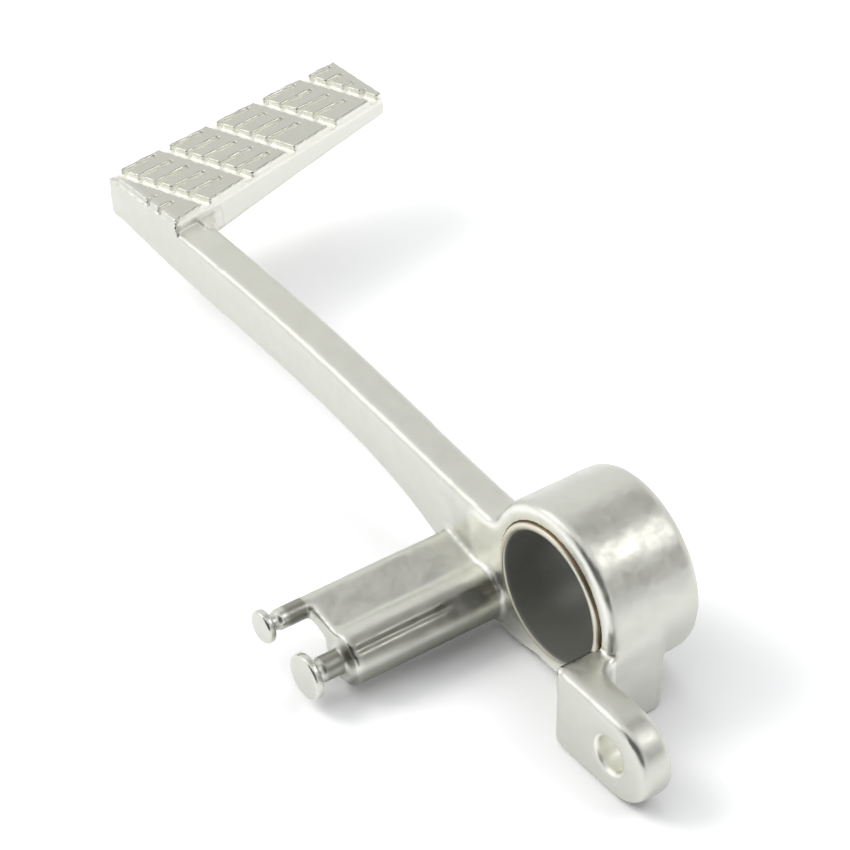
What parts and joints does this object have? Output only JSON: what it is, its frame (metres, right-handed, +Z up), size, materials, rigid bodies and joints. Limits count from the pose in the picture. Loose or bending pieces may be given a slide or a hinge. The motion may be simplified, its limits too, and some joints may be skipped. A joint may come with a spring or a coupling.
{
  "type": "rear brake pedal",
  "caption": "Cast steel foot brake pedal for a motorbike: hub with a pressed-in bush, tapered arm, ribbed tread pad, push-rod ear and spring posts on a web.",
  "frame": {"origin": "on the pivot axis, at the hub's front face, the one that faces the motorbike's frame", "axes": "+X forward from the hub to the tread pad, +Y along the pivot axis towards the spring posts and the motorbike's frame, +Z up"},
  "size_m": [0.1643, 0.0862, 0.0322],
  "materials": {
    "cast_steel": "satin, as cast",
    "bush_metal": "dull, bronze-tinted"
  },
  "bodies": {
    "root": {"pedal_casting": "cast_steel", "pivot_bush": "bush_metal"}
  },
  "joints": []
}
